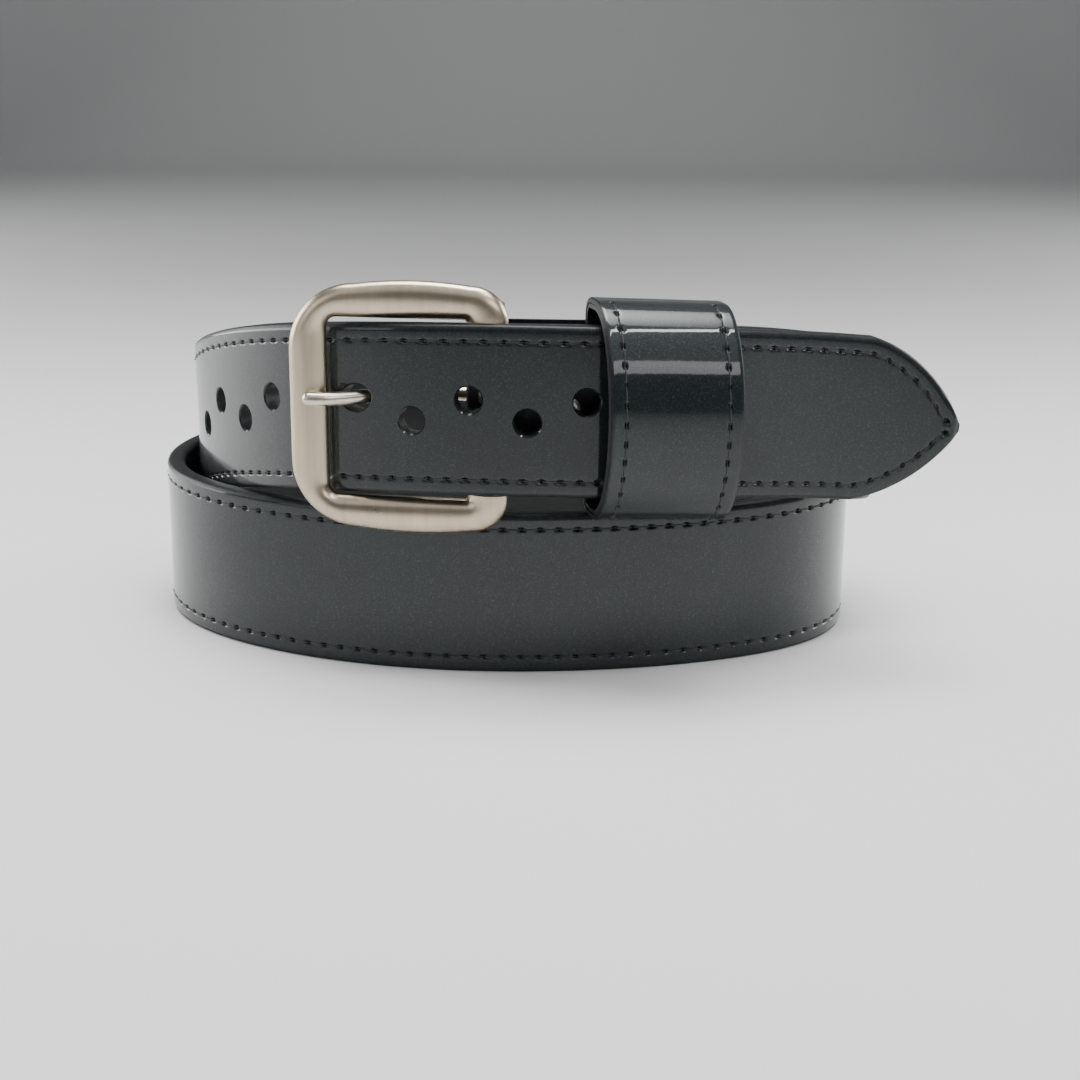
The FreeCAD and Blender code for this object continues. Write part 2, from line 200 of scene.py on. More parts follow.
def tip_circle():
    """Centre and radius of the arc that bounds each side of the tip."""
    (x1, y1), (x2, y2), (x3, y3) = (0, TIP_BLUNT), TIP_MIDDLE, (TIP_LENGTH, HALF_WIDTH)
    d = 2 * (x1 * (y2 - y3) + x2 * (y3 - y1) + x3 * (y1 - y2))
    q1, q2, q3 = x1 * x1 + y1 * y1, x2 * x2 + y2 * y2, x3 * x3 + y3 * y3
    cx = (q1 * (y2 - y3) + q2 * (y3 - y1) + q3 * (y1 - y2)) / d
    cy = (q1 * (x3 - x2) + q2 * (x1 - x3) + q3 * (x2 - x1)) / d
    return cx, cy, math.hypot(x1 - cx, y1 - cy)


TIP_CIRCLE = tip_circle()


def half_width(s):
    """Half the strap's width at s, and how fast it grows."""
    if s >= TIP_LENGTH:
        return HALF_WIDTH, 0.0
    cx, cy, r = TIP_CIRCLE
    rise = math.sqrt(r * r - (s - cx) ** 2)
    return cy + rise, -(s - cx) / rise


SEAM_BAND = SEAM_MARGIN + 1.0       # what the edge columns of the strap's mesh span


def edge_scale(s):
    """How much the distances from the edge are stretched at s, along the strap's width."""
    half, slope = half_width(s)
    return min(math.hypot(1, slope), 0.98 * half / SEAM_BAND)


def seam_width(s):
    """Distance of a seam from the strap's middle line at s."""
    return half_width(s)[0] - SEAM_MARGIN * edge_scale(s)


def seam_lengths():
    """(s, length) along a seam through the tip's taper."""
    table = [(SEAM_START, 0.0)]
    for s in steps(SEAM_START, TIP_LENGTH, 0.1)[1:]:
        last_s, length = table[-1]
        table.append((s, length + math.hypot(s - last_s, seam_width(s) - seam_width(last_s))))
    return table


SEAM_TABLE = seam_lengths()


def seam_length(s):
    """Length along a seam at s."""
    if s >= TIP_LENGTH:
        return SEAM_TABLE[-1][1] + s - TIP_LENGTH
    spans = len(SEAM_TABLE) - 1
    i = int((s - SEAM_START) / (TIP_LENGTH - SEAM_START) * spans)
    i = max(0, min(spans - 1, i))
    (s0, l0), (s1, l1) = SEAM_TABLE[i], SEAM_TABLE[i + 1]
    return l0 + (s - s0) / (s1 - s0) * (l1 - l0)


def seam_place(length):
    """The s at a length along a seam."""
    if length >= SEAM_TABLE[-1][1]:
        return TIP_LENGTH + length - SEAM_TABLE[-1][1]
    for (s0, l0), (s1, l1) in zip(SEAM_TABLE, SEAM_TABLE[1:]):
        if length <= l1:
            return s0 + (length - l0) / (l1 - l0) * (s1 - s0)
    return TIP_LENGTH


def from_needle_hole(length):
    """Distance along a seam from its nearest needle hole, with a sign."""
    return (length + STITCH / 2) % STITCH - STITCH / 2


def dip(length, across):
    """Depth of the seam's surface: a faint groove, and a needle hole at each stitch end."""
    along = from_needle_hole(length)
    hole = 0.9 * math.exp(-(along / 0.6) ** 4 - (across / 0.4) ** 4)
    return hole + 0.03 * math.exp(-(across / 0.6) ** 2)


def strap_ring(s, columns, facing=1):
    """Points of the strap's outline at s, none of them under the floor."""
    point, along, out, up = station(s)
    ring = [point + out * (n * facing) + up * w for w, n in columns]
    for p in ring:
        p.z = max(p.z, 0.0)
    return ring


# ------------------------------------------------------------------ meshes

def new_piece(name, points, faces, materials, indices=None):
    """A mesh object from points in millimetres."""
    mesh = bpy.data.meshes.new(name)
    mesh.from_pydata([Vector(p) * MM for p in points], [], faces)
    for material in materials:
        mesh.materials.append(material)
    if indices:
        mesh.polygons.foreach_set("material_index", indices)
    mesh.polygons.foreach_set("use_smooth", [True] * len(mesh.polygons))
    mesh.validate()
    mesh.update()
    piece = bpy.data.objects.new(name, mesh)
    bpy.context.scene.collection.objects.link(piece)
    return piece


def skin(sections, closed=False, index=None, base=0):
    """Faces between rings of points; index(i, j) gives each face's material."""
    points = [p for section in sections for p in section]
    size = len(sections[0])
    faces = []
    indices = []
    last = len(sections) if closed else len(sections) - 1
    for i in range(last):
        k = (i + 1) % len(sections)
        for j in range(size):
            m = (j + 1) % size
            faces.append((base + i * size + j, base + k * size + j,
                          base + k * size + m, base + i * size + m))
            indices.append(index(i, j) if index else 0)
    if not closed:
        faces.append(tuple(base + j for j in range(size)))
        faces.append(tuple(base + (len(sections) - 1) * size + j for j in reversed(range(size))))
        indices += [index(0, 0) if index else 0] * 2
    return points, faces, indices


def join_skins(parts):
    """One mesh's worth of skins; each part is (sections, closed, index)."""
    points, faces, indices = [], [], []
    for sections, closed, index in parts:
        p, f, m = skin(sections, closed, index, len(points))
        points += p
        faces += f
        indices += m
    return points, faces, indices


def cut(piece, cutter):
    """Takes the cutter's shape out of the piece."""
    modifier = piece.modifiers.new("cut", "BOOLEAN")
    modifier.operation = "DIFFERENCE"
    modifier.solver = "EXACT"
    modifier.material_mode = "TRANSFER"
    modifier.object = cutter
    graph = bpy.context.evaluated_depsgraph_get()
    mesh = bpy.data.meshes.new_from_object(piece.evaluated_get(graph))
    piece.modifiers.clear()
    piece.data = mesh
    cutter_mesh = cutter.data
    bpy.data.objects.remove(cutter)
    bpy.data.meshes.remove(cutter_mesh)


# --------------------------------------------------------------- materials

def material(name):
    """A new material with its nodes, links and shader."""
    made = bpy.data.materials.new(name)
    made.use_nodes = True
    nodes = made.node_tree.nodes
    return made, nodes, made.node_tree.links, nodes["Principled BSDF"]


def node(nodes, kind, **values):
    """A new shader node, its sockets and settings set by name."""
    made = nodes.new(kind)
    for key, value in values.items():
        if key in made.inputs:
            made.inputs[key].default_value = value
        else:
            setattr(made, key, value)
    return made


def noise(nodes, links, scale, detail=2.0, roughness=0.5, stretch=None):
    """Noise in the object's own space, drawn out along an axis where stretch is small."""
    texture = node(nodes, "ShaderNodeTexNoise", Scale=scale, Detail=detail, Roughness=roughness)
    place = nodes.new("ShaderNodeTexCoord")
    if stretch:
        mapping = nodes.new("ShaderNodeMapping")
        mapping.inputs["Scale"].default_value = stretch
        links.new(place.outputs["Object"], mapping.inputs["Vector"])
        links.new(mapping.outputs["Vector"], texture.inputs["Vector"])
    else:
        links.new(place.outputs["Object"], texture.inputs["Vector"])
    return texture


def ramp(nodes, links, source, stops):
    """Colours from a source value; each stop is (place, colour)."""
    made = nodes.new("ShaderNodeValToRGB")
    band = made.color_ramp
    while len(band.elements) < len(stops):
        band.elements.new(0.5)
    for element, (place, colour) in zip(band.elements, stops):
        element.position = place
        element.color = (*colour, 1.0)
    links.new(source, made.inputs["Fac"])
    return made


def bump(nodes, links, source, strength, distance, normal=None):
    """Bump from a source value, on top of another normal if one is given."""
    made = node(nodes, "ShaderNodeBump", Strength=strength, Distance=distance)
    links.new(source, made.inputs["Height"])
    if normal:
        links.new(normal, made.inputs["Normal"])
    return made


def patent_leather(name):
    """Charcoal patent leather: a pearl layer with fine glints under a clear coat."""
    made, nodes, links, shader = material(name)
    grain = noise(nodes, links, 2600, 3.0, 0.7)
    cloud = noise(nodes, links, 45, 3.0, 0.55)
    tone = ramp(nodes, links, grain.outputs["Fac"],
                [(0.32, (0.003, 0.006, 0.006)), (0.55, (0.008, 0.014, 0.015)),
                 (0.74, (0.040, 0.055, 0.055))])
    shade = ramp(nodes, links, cloud.outputs["Fac"],
                 [(0.3, (0.75, 0.75, 0.75)), (0.7, (1.0, 1.0, 1.0))])
    mix = node(nodes, "ShaderNodeMix", data_type="RGBA", blend_type="MULTIPLY")
    mix.inputs["Factor"].default_value = 1.0
    links.new(tone.outputs["Color"], mix.inputs[6])
    links.new(shade.outputs["Color"], mix.inputs[7])
    links.new(mix.outputs[2], shader.inputs["Base Color"])
    shader.inputs["Metallic"].default_value = 0.5
    shader.inputs["Roughness"].default_value = 0.5
    shader.inputs["Specular IOR Level"].default_value = 0.2
    shader.inputs["Coat Weight"].default_value = 1.0
    shader.inputs["Coat Roughness"].default_value = 0.065
    shader.inputs["Coat IOR"].default_value = 1.42
    flake = bump(nodes, links, grain.outputs["Fac"], 0.35, 0.0001)
    wave = noise(nodes, links, 22, 2.0)
    slow = bump(nodes, links, wave.outputs["Fac"], 0.25, 0.0012)
    peel = noise(nodes, links, 700, 2.0)
    coat = bump(nodes, links, peel.outputs["Fac"], 0.05, 0.0001, slow.outputs["Normal"])
    links.new(slow.outputs["Normal"], flake.inputs["Normal"])
    links.new(flake.outputs["Normal"], shader.inputs["Normal"])
    links.new(coat.outputs["Normal"], shader.inputs["Coat Normal"])
    return made


def edge_paint(name):
    """Black edge dressing, a little uneven."""
    made, nodes, links, shader = material(name)
    texture = noise(nodes, links, 900, 3.0)
    tone = ramp(nodes, links, texture.outputs["Fac"],
                [(0.3, (0.004, 0.005, 0.006)), (0.75, (0.014, 0.016, 0.018))])
    links.new(tone.outputs["Color"], shader.inputs["Base Color"])
    shader.inputs["Roughness"].default_value = 0.42
    shader.inputs["Specular IOR Level"].default_value = 0.25
    rough = bump(nodes, links, texture.outputs["Fac"], 0.35, 0.0002)
    links.new(rough.outputs["Normal"], shader.inputs["Normal"])
    return made


def lining_leather(name):
    """Plain black lining leather with a fine grain."""
    made, nodes, links, shader = material(name)
    grain = node(nodes, "ShaderNodeTexVoronoi", Scale=1500.0)
    place = nodes.new("ShaderNodeTexCoord")
    links.new(place.outputs["Object"], grain.inputs["Vector"])
    cloud = noise(nodes, links, 120, 4.0)
    tone = ramp(nodes, links, cloud.outputs["Fac"],
                [(0.3, (0.006, 0.006, 0.007)), (0.7, (0.018, 0.018, 0.020))])
    links.new(tone.outputs["Color"], shader.inputs["Base Color"])
    shader.inputs["Roughness"].default_value = 0.55
    surface = bump(nodes, links, grain.outputs["Distance"], 0.4, 0.00015)
    links.new(surface.outputs["Normal"], shader.inputs["Normal"])
    return made


def sewing_thread(name):
    """Black thread with a twist."""
    made, nodes, links, shader = material(name)
    twist = node(nodes, "ShaderNodeTexWave", Scale=900.0, Distortion=1.0)
    place = nodes.new("ShaderNodeTexCoord")
    links.new(place.outputs["Object"], twist.inputs["Vector"])
    tone = ramp(nodes, links, twist.outputs["Fac"],
                [(0.2, (0.003, 0.003, 0.004)), (0.8, (0.02, 0.022, 0.025))])
    links.new(tone.outputs["Color"], shader.inputs["Base Color"])
    shader.inputs["Roughness"].default_value = 0.6
    surface = bump(nodes, links, twist.outputs["Fac"], 0.5, 0.0001)
    links.new(surface.outputs["Normal"], shader.inputs["Normal"])
    return made


def satin_nickel(name, stretch, tint=(0.58, 0.49, 0.37), roughness=0.29):
    """Brushed nickel, its fine scratches running along one direction."""
    made, nodes, links, shader = material(name)
    brush = noise(nodes, links, 500, 4.0, 0.6, stretch)
    cloud = noise(nodes, links, 90, 3.0)
    dark = tuple(c * 0.82 for c in tint)
    tone = ramp(nodes, links, brush.outputs["Fac"], [(0.3, dark), (0.7, tint)])
    links.new(tone.outputs["Color"], shader.inputs["Base Color"])
    wear = node(nodes, "ShaderNodeMapRange")
    wear.inputs["To Min"].default_value = roughness - 0.06
    wear.inputs["To Max"].default_value = roughness + 0.08
    links.new(cloud.outputs["Fac"], wear.inputs["Value"])
    links.new(wear.outputs["Result"], shader.inputs["Roughness"])
    shader.inputs["Metallic"].default_value = 1.0
    surface = bump(nodes, links, brush.outputs["Fac"], 0.12, 0.0001)
    links.new(surface.outputs["Normal"], shader.inputs["Normal"])
    return made


# ------------------------------------------------------------------- strap

# (from the edge, in front of the middle) across the strap's rounded edge
EDGE_PROFILE = [(0.0, 0.0), (0.0, 0.95), (0.12, 1.5), (0.42, 1.95), (0.95, 2.19), (1.7, 2.25)]
SEAM_COLUMNS = [SEAM_MARGIN + d for d in (-1.0, -0.66, -0.42, -0.2, 0.0, 0.2, 0.42, 0.66, 1.0)]
MIDDLE_COLUMNS = 9
FOLD_RINGS = 17
EDGE_FACES = 4                      # faces of each edge that carry edge paint
SEAM_FACES = (8, 9, 10, 11)         # faces across a seam that the needle holes fall in


def strap_columns(s, seam):
    """(w, n) across one outer side of the strap at s, from the lower edge to the upper."""
    half = half_width(s)[0]
    scale = edge_scale(s)
    blunt = smoothstep(s / 1.6) * 0.35 + 0.65
    length = seam_length(s)
    side = [(off * scale, n * blunt) for off, n in EDGE_PROFILE]
    for off in SEAM_COLUMNS:
        depth = 0.0
        if seam and SEAM_START - 0.6 < s < SEAM_END + 0.6:
            depth = dip(length, off - SEAM_MARGIN)
        side.append((off * scale, LAYER * blunt - depth))
    inner = side[-1][0]
    columns = [(off - half, n) for off, n in side]
    for i in range(1, MIDDLE_COLUMNS):
        columns.append(((inner - half) * (1 - 2 * i / MIDDLE_COLUMNS), LAYER * blunt))
    columns += [(half - off, n) for off, n in reversed(side)]
    return columns


def strap_material(places):
    """Which material a face of the strap takes: leather 0, edge paint 1, raw leather 2."""
    count = len(strap_columns(TIP_LENGTH, False))

    def index(i, j):
        if j < EDGE_FACES or j >= count - 1 - EDGE_FACES:
            return 1
        if i + 1 < len(places) and min(j, count - 2 - j) in SEAM_FACES:
            s = (places[i] + places[i + 1]) / 2
            along = from_needle_hole(seam_length(s))
            return 2 if abs(along) < 0.55 and SEAM_START < s < SEAM_END else 0
        return 0
    return index


def face_places():
    """The s of each ring of the face leather, eight to a stitch."""
    fine = STITCH / 8
    return steps(0, TIP_LENGTH, fine * 0.8) + steps(TIP_LENGTH, STRAP_LENGTH, fine)[1:]


def face_sections(places):
    """Rings of points along the face leather, round the fold and back along the flap."""
    sections = [strap_ring(s, strap_columns(s, True)) for s in places]
    point, along, out, up = station(STRAP_LENGTH)
    axis = point - out * (FLAP_GAP / 2)
    plain = strap_columns(STRAP_LENGTH, False)
    for i in range(1, FOLD_RINGS):
        angle = math.pi * i / FOLD_RINGS
        spoke = out * math.cos(angle) + along * math.sin(angle)
        sections.append([axis + spoke * (n + FLAP_GAP / 2) + up * w for w, n in plain])
    for s in reversed(steps(STRAP_LENGTH - FLAP_LENGTH, STRAP_LENGTH, 2.0)):
        point, along, out, up = station(s)
        run = s - STRAP_LENGTH + FLAP_LENGTH
        thin = 0.55 + 0.45 * smoothstep(run / 8)
        reach = FLAP_END_HALF_WIDTH + (HALF_WIDTH - FLAP_END_HALF_WIDTH) * run / FLAP_TAPER
        narrow = min(1.0, reach / HALF_WIDTH)
        sections.append([point - out * (FLAP_GAP + n * thin) + up * (w * narrow) for w, n in plain])
    return sections


def lining_sections():
    """Rings of points along the lining, which is plain."""
    sections = []
    for s in steps(0, TIP_LENGTH, 1.0) + steps(TIP_LENGTH, STRAP_LENGTH - LINING_STOP, 2.0)[1:]:
        sections.append(strap_ring(s, list(reversed(strap_columns(s, False))), -1))
    return sections


def hole_places():
    """Number, distance from the tip and height of each punched hole."""
    for i in range(HOLE_COUNT):
        yield i, FIRST_HOLE + i * HOLE_SPACING, LOWER_ROW if i % 2 else UPPER_ROW


def hole_cutter(materials):
    """Punches with a bevel at the back and one at the face, where the leather's finish runs in."""
    profile = [(-6.0, 3.4), (-LAYER - 0.05, HOLE_RADIUS + 0.3), (-LAYER + 0.35, HOLE_RADIUS),
               (LAYER - 0.35, HOLE_RADIUS), (LAYER + 0.02, HOLE_RADIUS + 0.35), (6.0, 3.9)]
    parts = []
    for i, s, w in hole_places():
        stretch = PRONG_HOLE_STRETCH if i == PRONG_HOLE else 1.0
        point, along, out, up = station(s)
        centre = point + up * w
        sections = []
        for n, r in profile:
            ring = []
            for k in range(40):
                angle = 2 * math.pi * k / 40
                run = along * (r * stretch * math.cos(angle))
                rise = up * (r * math.sin(angle))
                ring.append(centre + out * n + run + rise)
            sections.append(ring)
        parts.append((sections, False, lambda a, b: 0 if a in (3, 4) else 2))
    points, faces, indices = join_skins(parts)
    return new_piece("hole_cutter", points, faces, materials, indices)


def slot_cutter(materials):
    """The slot for the prong, through the fold."""
    (heel, toe), (rear, front) = PRONG_SLOT_TOEWARD, PRONG_SLOT_FORWARD
    corners = ((heel, rear), (toe, rear), (toe, front), (heel, front))
    outline = [buckle_point(u, n, PRONG_HEIGHT - PRONG_SLOT_HEIGHT / 2) for u, n in corners]
    top = [p + Vector((0, 0, PRONG_SLOT_HEIGHT)) for p in outline]
    points, faces, indices = skin([outline, top], False, lambda i, j: 2)
    return new_piece("slot_cutter", points, faces, materials, indices)


STITCH_DEPTH = 0.62                 # of a stitch's ends in their needle holes
STITCH_STATIONS = (0.0, 0.1, 0.25, 0.5, 0.75, 0.9, 1.0)
THREAD_ANGLES = [2 * math.pi * q / 6 for q in range(6)]


def stitch_lift(t):
    """Height of a stitch over the leather, from one needle hole (0) to the next (1)."""
    return STITCH_DEPTH * math.sin(math.pi * t) ** 0.6 - STITCH_DEPTH


def seam_tubes(side, front, start, end):
    """One small tube for each stitch of a seam along the strap."""
    parts = []
    facing = 1 if front else -1
    count = int((end - start) / STITCH)
    for k in range(count):
        rings = []
        for t in STITCH_STATIONS:
            length = start + (k + t) * STITCH
            s = seam_place(length)
            point, along, out, up = station(s)
            half = seam_width(s)
            slope = (seam_width(s + 0.1) - seam_width(s - 0.1)) / 0.2 if s < TIP_LENGTH else 0.0
            run = (along + up * (slope * side)).normalized()
            across = out.cross(run)
            lift = (LAYER + stitch_lift(t)) * facing
            centre = point + out * lift + up * (side * half)
            rings.append([centre + (out * math.cos(a) + across * math.sin(a)) * THREAD_RADIUS
                          for a in THREAD_ANGLES])
        parts.append((rings, False, None))
    return parts


# ------------------------------------------------------------------ keeper

KEEPER_THICK = KEEPER_LINING + KEEPER_SHELL
KEEPER_END = KEEPER_FROM + KEEPER_WIDTH
KEEPER_MIDDLE = (KEEPER_FROM + KEEPER_END) / 2
KEEPER_SEAMS = (KEEPER_FROM + KEEPER_MARGIN, KEEPER_END - KEEPER_MARGIN)
KEEPER_SEAM_REACH = KEEPER_STITCHES * STITCH + 0.6


def oval_point(grow, angle):
    """(n, w) on the keeper's oval front, at an angle from its crown."""
    return (KEEPER_CENTRE + (KEEPER_FRONT - KEEPER_CENTRE + grow) * math.cos(angle),
            (KEEPER_HALF_HEIGHT + grow) * math.sin(angle))


def oval_lengths():
    """(angle, length from the crown) up the outer surface of the oval."""
    table = [(0.0, 0.0)]
    for angle in steps(0, math.pi / 2, 0.01)[1:]:
        last_angle, length = table[-1]
        apart = math.dist(oval_point(KEEPER_THICK, last_angle), oval_point(KEEPER_THICK, angle))
        table.append((angle, length + apart))
    return table


OVAL_TABLE = oval_lengths()


def oval_angle(length):
    """Angle at a length from the crown, upwards positive."""
    for (a0, l0), (a1, l1) in zip(OVAL_TABLE, OVAL_TABLE[1:]):
        if abs(length) <= l1:
            return math.copysign(a0 + (abs(length) - l0) / (l1 - l0) * (a1 - a0), length)
    return math.copysign(math.pi / 2, length)


OVAL_STEPS = [(length, oval_angle(length)) for length in steps(-OVAL_TABLE[-1][1], OVAL_TABLE[-1][1], 0.3)]


def seam_distance(s):
    """Distance of s from the nearer of the keeper's two seams."""
    return min(abs(s - seam) for seam in KEEPER_SEAMS)


def keeper_corner(centre, radius, first, count=8):
    """(n, w) points of a quarter circle, turning forwards over the top from an angle in degrees."""
    angles = [math.radians(first + 90 * k / count) for k in range(count + 1)]
    return [(centre[0] + radius * math.cos(a), centre[1] + radius * math.sin(a)) for a in angles]


def keeper_back(s):
    """Inside of the keeper's back at s; it runs along the strap behind it."""
    return KEEPER_BACK - KEEPER_SKEW * (s - KEEPER_MIDDLE)


def keeper_outline(s, grow, sunk):
    """(n, w) points round the keeper's section; sunk(length) is the depth of a seam's surface."""
    back = keeper_back(s) - grow
    half = KEEPER_HALF_HEIGHT + grow
    r = KEEPER_CORNER + grow
    outline = [oval_point(grow - sunk(length), angle) for length, angle in OVAL_STEPS]
    top = [(KEEPER_CENTRE + (back + r - KEEPER_CENTRE) * t, half) for t in (0.25, 0.5, 0.75)]
    outline += top
    outline += keeper_corner((back + r, half - r), r, 90)
    outline += [(back, (half - r) * t) for t in steps(1, -1, -0.1)[1:-1]]
    outline += keeper_corner((back + r, r - half), r, 180)
    return outline + [(n, -w) for n, w in reversed(top)]


def keeper_point(s, n, w):
    """Point of the keeper, which is straight, leans a little and hangs low on the strap."""
    point, along, out, up = station(KEEPER_MIDDLE)
    return point + out * n + along * (s - KEEPER_MIDDLE + KEEPER_LEAN * w) + up * (w - KEEPER_DROP)


def keeper_places(thick, seams):
    """(s, height) across the keeper's outer surface, over its rounded lips."""
    flat = [KEEPER_FROM + 1.2]
    if seams:
        around = (-1.4, -0.8, -0.5, -0.36, -0.2, 0.0, 0.2, 0.36, 0.5, 0.8, 1.4)
        first, second = KEEPER_SEAMS
        flat += [first + d for d in around]
        flat += steps(first + 2.5, second - 2.5, 1.2)
        flat += [second + d for d in around]
    else:
        flat += steps(KEEPER_FROM + 2.4, KEEPER_END - 2.4, 2.0)
    flat.append(KEEPER_END - 1.2)
    rise = [(0.0, thick * 0.5), (0.09, thick - 0.22), (0.45, thick)]
    places = [(KEEPER_FROM + d, height) for d, height in rise]
    places += [(s, thick) for s in flat]
    return places + [(KEEPER_END - d, height) for d, height in reversed(rise)]


def keeper_layer(inside, thick, seams):
    """Rings round the keeper: out along the outer surface, back along the inner one."""
    sections = []
    for s, height in keeper_places(thick, seams) + [(KEEPER_END, 0.0), (KEEPER_FROM, 0.0)]:
        across = seam_distance(s)

        def sunk(length):
            if seams and height == thick and across < 1.3 and abs(length) < KEEPER_SEAM_REACH:
                return dip(length, across)
            return 0.0

        sections.append([keeper_point(s, n, w) for n, w in keeper_outline(s, inside + height, sunk)])
    return sections


def keeper_material():
    """Which material a face of the keeper takes: leather 0, edge paint 1, raw leather 2."""
    places = keeper_places(KEEPER_SHELL, True)

    def index(i, j):
        if i < 2 or i > len(places) - 4:
            return 1
        if j + 1 >= len(OVAL_STEPS) or abs(OVAL_STEPS[j][0]) > KEEPER_SEAM_REACH:
            return 0
        length = (OVAL_STEPS[j][0] + OVAL_STEPS[j + 1][0]) / 2
        along = from_needle_hole(length)
        across = seam_distance((places[i][0] + places[i + 1][0]) / 2)
        return 2 if across < 0.45 and abs(along) < 0.5 else 0
    return index


def keeper_seam_tubes():
    """One small tube for each stitch of the keeper's two seams."""
    parts = []
    point, along, out, up = station(KEEPER_MIDDLE)
    for s in KEEPER_SEAMS:
        for k in range(-KEEPER_STITCHES, KEEPER_STITCHES):
            rings = []
            for t in STITCH_STATIONS:
                angle = oval_angle((k + t) * STITCH)
                centre = keeper_point(s, *oval_point(KEEPER_THICK + stitch_lift(t), angle))
                outward = out * math.cos(angle) + up * math.sin(angle)
                rings.append([centre + (outward * math.cos(a) + along * math.sin(a)) * THREAD_RADIUS
                              for a in THREAD_ANGLES])
            parts.append((rings, False, None))
    return parts


# ------------------------------------------------------------------ buckle

HEEL_AXIS = strap_point(STRAP_LENGTH, -FLAP_GAP / 2, 0)
TOEWARD = Vector((-math.cos(BUCKLE_TURN), math.sin(BUCKLE_TURN), 0))
FORWARD = Vector((-math.sin(BUCKLE_TURN), -math.cos(BUCKLE_TURN), 0))


def buckle_point(u, n, z):
    """Point u toeward of the heel bar's axis and n in front of it, at height z."""
    return Vector((HEEL_AXIS.x, HEEL_AXIS.y, z)) + TOEWARD * u + FORWARD * n


def c_outline(heel_u, toe_u, low, high, heel, toe, ends, crown):
    """(u, z) points from the lower end at the heel, round the toe, to the upper end."""
    outline = [(heel_u, ends[0] + (low + heel - ends[0]) * i / 3) for i in range(3)]
    corners = ((heel_u + heel, low + heel, heel, 180), (toe_u - toe, low + toe, toe, 270),
               (toe_u - toe, high - toe, toe, 0), (heel_u + heel, high - heel, heel, 90))
    for i, (cu, cz, r, first) in enumerate(corners):
        if i:
            start = outline[-1]
            end = (cu + r * math.cos(math.radians(first)), cz + r * math.sin(math.radians(first)))
            bow = {1: -crown, 2: 0.0, 3: crown}[i]
            for k in range(1, 14):
                t = k / 14
                outline.append((start[0] + (end[0] - start[0]) * t,
                                start[1] + (end[1] - start[1]) * t + bow * 4 * t * (1 - t)))
        for k in range(17):
            angle = math.radians(first + 90 * k / 16)
            outline.append((cu + r * math.cos(angle), cz + r * math.sin(angle)))
    return outline + [(heel_u, high - heel + (ends[1] - high + heel) * i / 3) for i in range(1, 4)]


# (share of the way from the outer edge to the window, height over the back) of a bar of the frame
FRAME_PROFILE = [(0.02, 0.0), (0.0, 0.5), (0.0, 1.3), (0.035, 2.0), (0.10, 2.55), (0.20, 3.0),
                 (0.33, 3.3), (0.47, 3.4), (0.60, 3.34), (0.72, 3.12), (0.82, 2.8), (0.89, 2.35),
                 (0.96, 1.75), (1.0, 1.2), (1.0, 0.5), (0.98, 0.0)]


def frame_sections():
    """Rings round the frame's bar, from its lower end at the heel to its upper end."""
    toe = BUCKLE_WIDTH - OVERHANG
    low = BUCKLE_BOTTOM + BAR_WIDTH
    high = BUCKLE_TOP - BAR_WIDTH
    ends = (low + 1.3, high - 0.1)
    outer = c_outline(-OVERHANG, toe, BUCKLE_BOTTOM, BUCKLE_TOP,
                      HEEL_CORNER, TOE_CORNER, ends, BUCKLE_CROWN)
    inner = c_outline(OVERHANG - 1, toe - TOE_BAR_WIDTH, low, high,
                      0.4, WINDOW_CORNER, ends, 0.0)
    back = BUCKLE_FORWARD - FRAME_THICKNESS / 2
    sections = []
    for (u0, z0), (u1, z1) in zip(outer, inner):
        sections.append([buckle_point(u0 + (u1 - u0) * t, back + n, z0 + (z1 - z0) * t)
                         for t, n in FRAME_PROFILE])
    return sections


def round_bar(points, radius, sides=20):
    """Rings of a bar of constant or given radius along points."""
    rings = []
    for i, p in enumerate(points):
        before = points[max(i - 1, 0)]
        after = points[min(i + 1, len(points) - 1)]
        run = (after - before).normalized()
        side = run.cross(Vector((0, 0, 1)))
        if side.length < 0.01:
            side = Vector((1, 0, 0))
        side.normalize()
        rise = side.cross(run)
        r = radius[i] if isinstance(radius, list) else radius
        rings.append([p + (side * math.cos(a) + rise * math.sin(a)) * r
                      for a in (2 * math.pi * k / sides for k in range(sides))])
    return rings


def arm_sections(z):
    """A rounded arm from the frame's heel corner back to the heel bar."""
    half = ARM_HEIGHT / 2
    rings = []
    for n in (-HEEL_BAR_RADIUS, -HEEL_BAR_RADIUS + 0.5, 0, 3, 6, BUCKLE_FORWARD):
        width = 2.4 if n < -1.8 else 3.0
        ring = []
        for k in range(24):
            a = 2 * math.pi * k / 24
            c, s = math.cos(a), math.sin(a)
            ring.append(buckle_point(math.copysign(abs(c) ** 0.5, c) * width, n,
                                     z + half + math.copysign(abs(s) ** 0.5, s) * half))
        rings.append(ring)
    return rings


def prong_line():
    """Smooth middle line of the prong's shank, through the CAD route."""
    corners = [buckle_point(u, n, PRONG_HEIGHT) for u, n in PRONG_ROUTE]
    line = []
    for t in steps(0, 1, 0.02):
        line.append(corners[0].lerp(corners[1], t * 0.62))
    a = corners[0].lerp(corners[1], 0.62)
    b = corners[1]
    c = corners[1].lerp(corners[2], 0.35)
    line += curve_points(a, b, c)
    a = corners[1].lerp(corners[2], 0.62)
    line += [c.lerp(a, t) for t in steps(0, 1, 0.25)[1:-1]]
    end = corners[2].lerp(corners[3], 0.55)
    line += curve_points(a, corners[2], end)
    line += [end.lerp(corners[3], t) for t in steps(0, 1, 0.34)[1:]]
    return line


def curve_points(a, b, c):
    """Points of the curve from a to c that b pulls on."""
    return [a * (1 - t) ** 2 + b * (2 * t * (1 - t)) + c * t * t for t in steps(0, 1, 0.125)]


